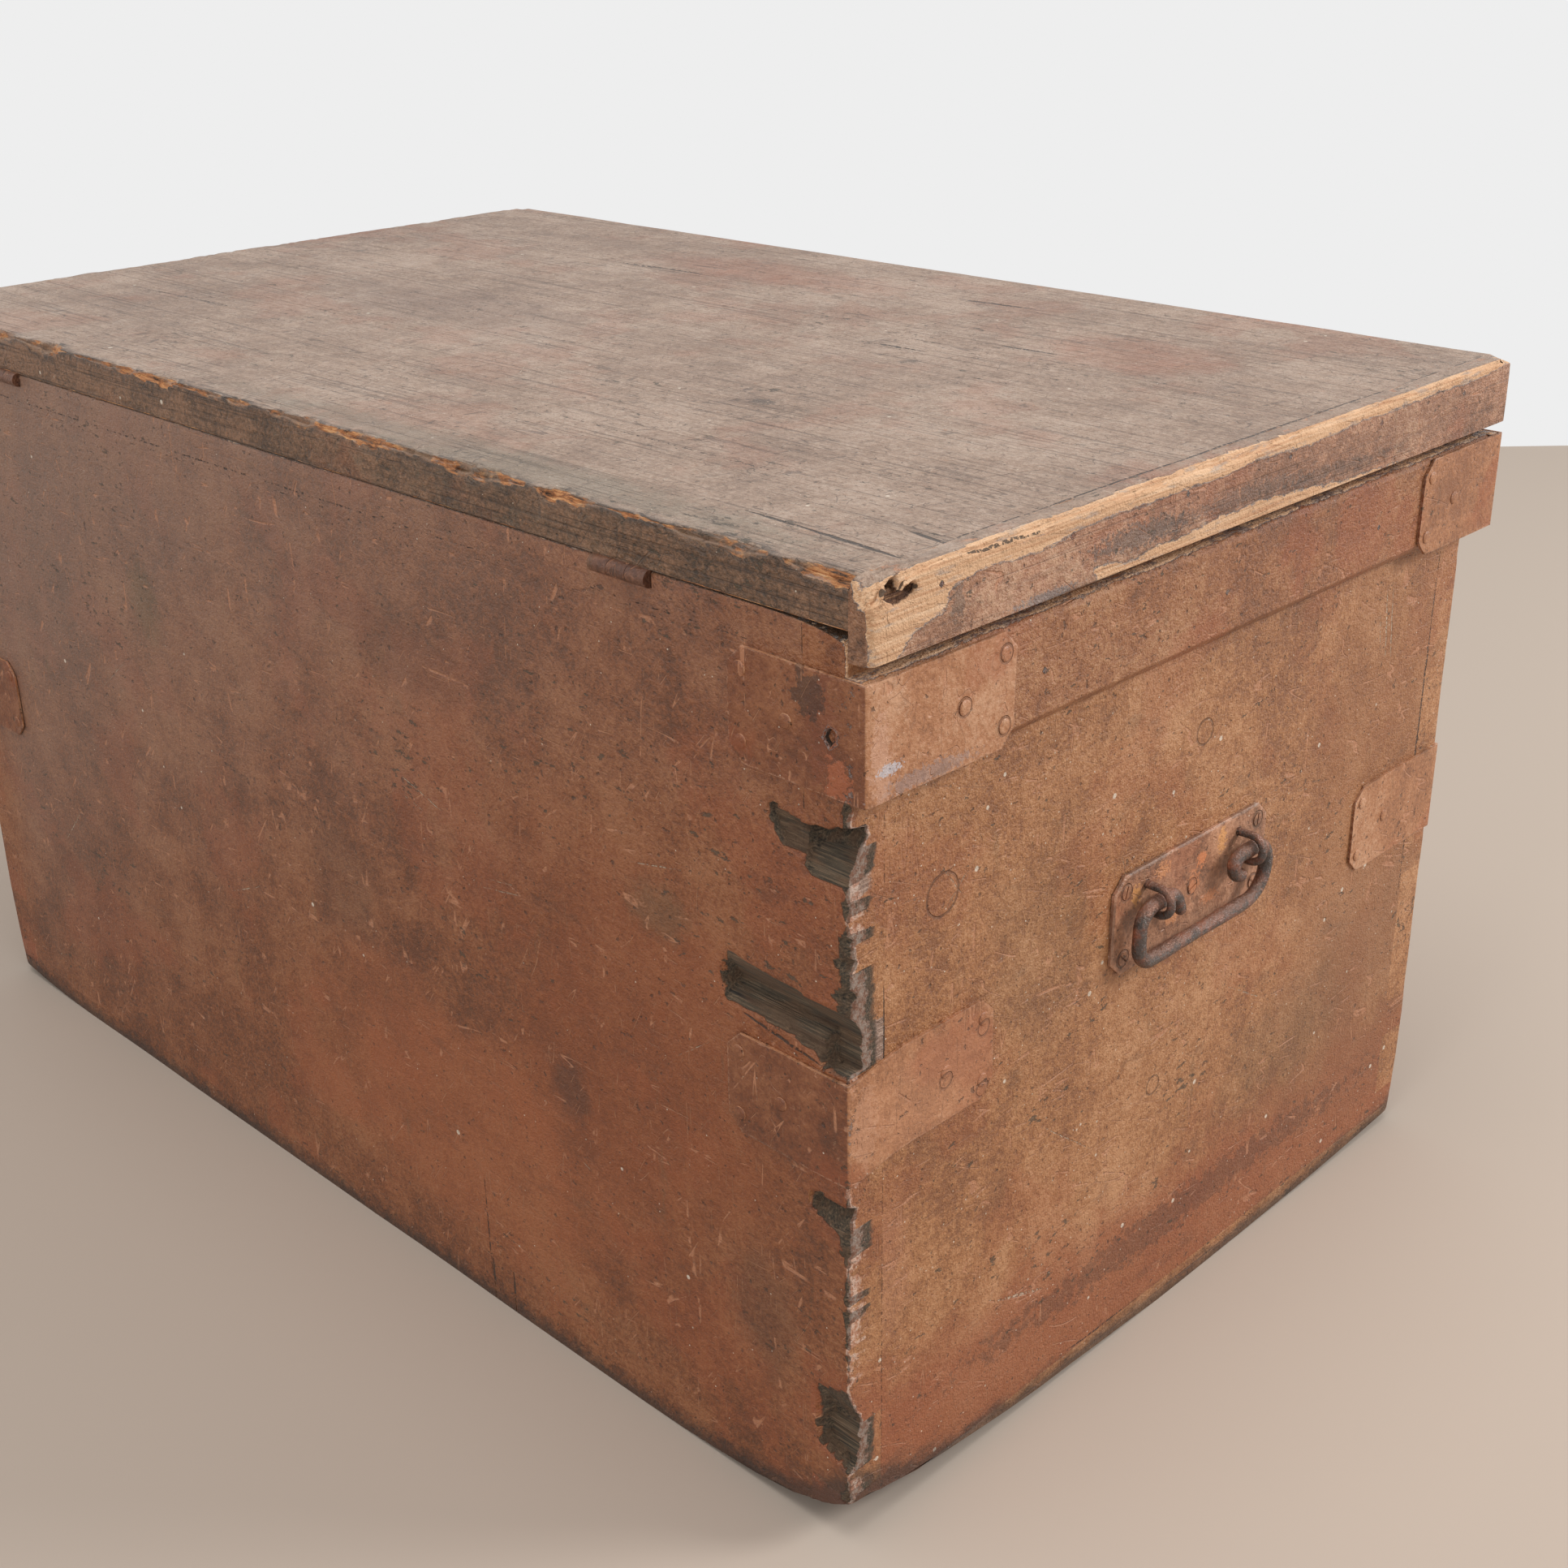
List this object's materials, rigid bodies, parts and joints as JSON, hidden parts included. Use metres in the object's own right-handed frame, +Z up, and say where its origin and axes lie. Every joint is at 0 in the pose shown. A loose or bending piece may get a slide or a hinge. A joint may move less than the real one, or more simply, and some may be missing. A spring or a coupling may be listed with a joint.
{
  "type": "blanket chest",
  "caption": "Old painted pine blanket chest with dovetailed corners, a skirt, iron corner straps, a hinged lid with rim strips and a drop handle on each end.",
  "frame": {"origin": "centre of the underside, on the floor, midway between the end faces and between the front and back faces of the carcass", "axes": "+X along the length, +Z up, front at -Y and hinged back at +Y"},
  "size_m": [0.956, 0.5781, 0.5365],
  "materials": {
    "brown_paint": "old matt brown paint",
    "faded_paint": "faded brown paint",
    "planks": "bare aged pine",
    "painted_iron": "painted over, worn",
    "iron": "rusted"
  },
  "bodies": {
    "carcass": {"back_lower_board": "brown_paint", "back_upper_board": "brown_paint", "front_lower_board": "brown_paint", "front_upper_board": "brown_paint", "left_end_lower_board": "brown_paint", "left_end_upper_board": "brown_paint", "right_end_lower_board": "brown_paint", "right_end_upper_board": "brown_paint", "skirt_front": "brown_paint", "skirt_left": "brown_paint", "skirt_right": "brown_paint", "end_plugs": "brown_paint", "bottom_planks": "planks", "upper_strap_back_left": "painted_iron", "upper_strap_back_right": "painted_iron", "upper_strap_front_left": "painted_iron", "upper_strap_front_right": "painted_iron", "middle_strap_back_left": "painted_iron", "middle_strap_back_right": "painted_iron", "middle_strap_front_left": "painted_iron", "middle_strap_front_right": "painted_iron", "strap_nails": "painted_iron", "left_handle_plate": "painted_iron", "right_handle_plate": "painted_iron", "plank_nails": "iron", "skirt_nails": "iron", "hinge_body_leaves": "iron", "hinge_body_screws": "iron", "hinge_pins": "iron", "handle_eyes": "iron", "plate_screws": "iron"},
    "lid": {"lid_back_board": "faded_paint", "lid_middle_board": "faded_paint", "lid_front_board": "faded_paint", "lid_front_strip": "brown_paint", "lid_left_strip": "brown_paint", "lid_right_strip": "brown_paint", "lid_strip_nails": "iron", "hinge_lid_leaves": "iron", "hinge_lid_screws": "iron"},
    "left_grip": {"left_bail": "iron"},
    "right_grip": {"right_bail": "iron"}
  },
  "joints": [
    {"name": "lid_hinge", "type": "hinge", "parent": "carcass", "child": "lid", "pos_m": [0, 0.28, 0.507], "axis": [-1, 0, 0], "range_deg": [0, 110]},
    {"name": "left_bail_swing", "type": "hinge", "parent": "carcass", "child": "left_grip", "pos_m": [-0.4675, 0, 0.2965], "axis": [0, 1, 0], "range_deg": [-5, 185]},
    {"name": "right_bail_swing", "type": "hinge", "parent": "carcass", "child": "right_grip", "pos_m": [0.4675, 0, 0.2965], "axis": [0, -1, 0], "range_deg": [-5, 185]}
  ]
}
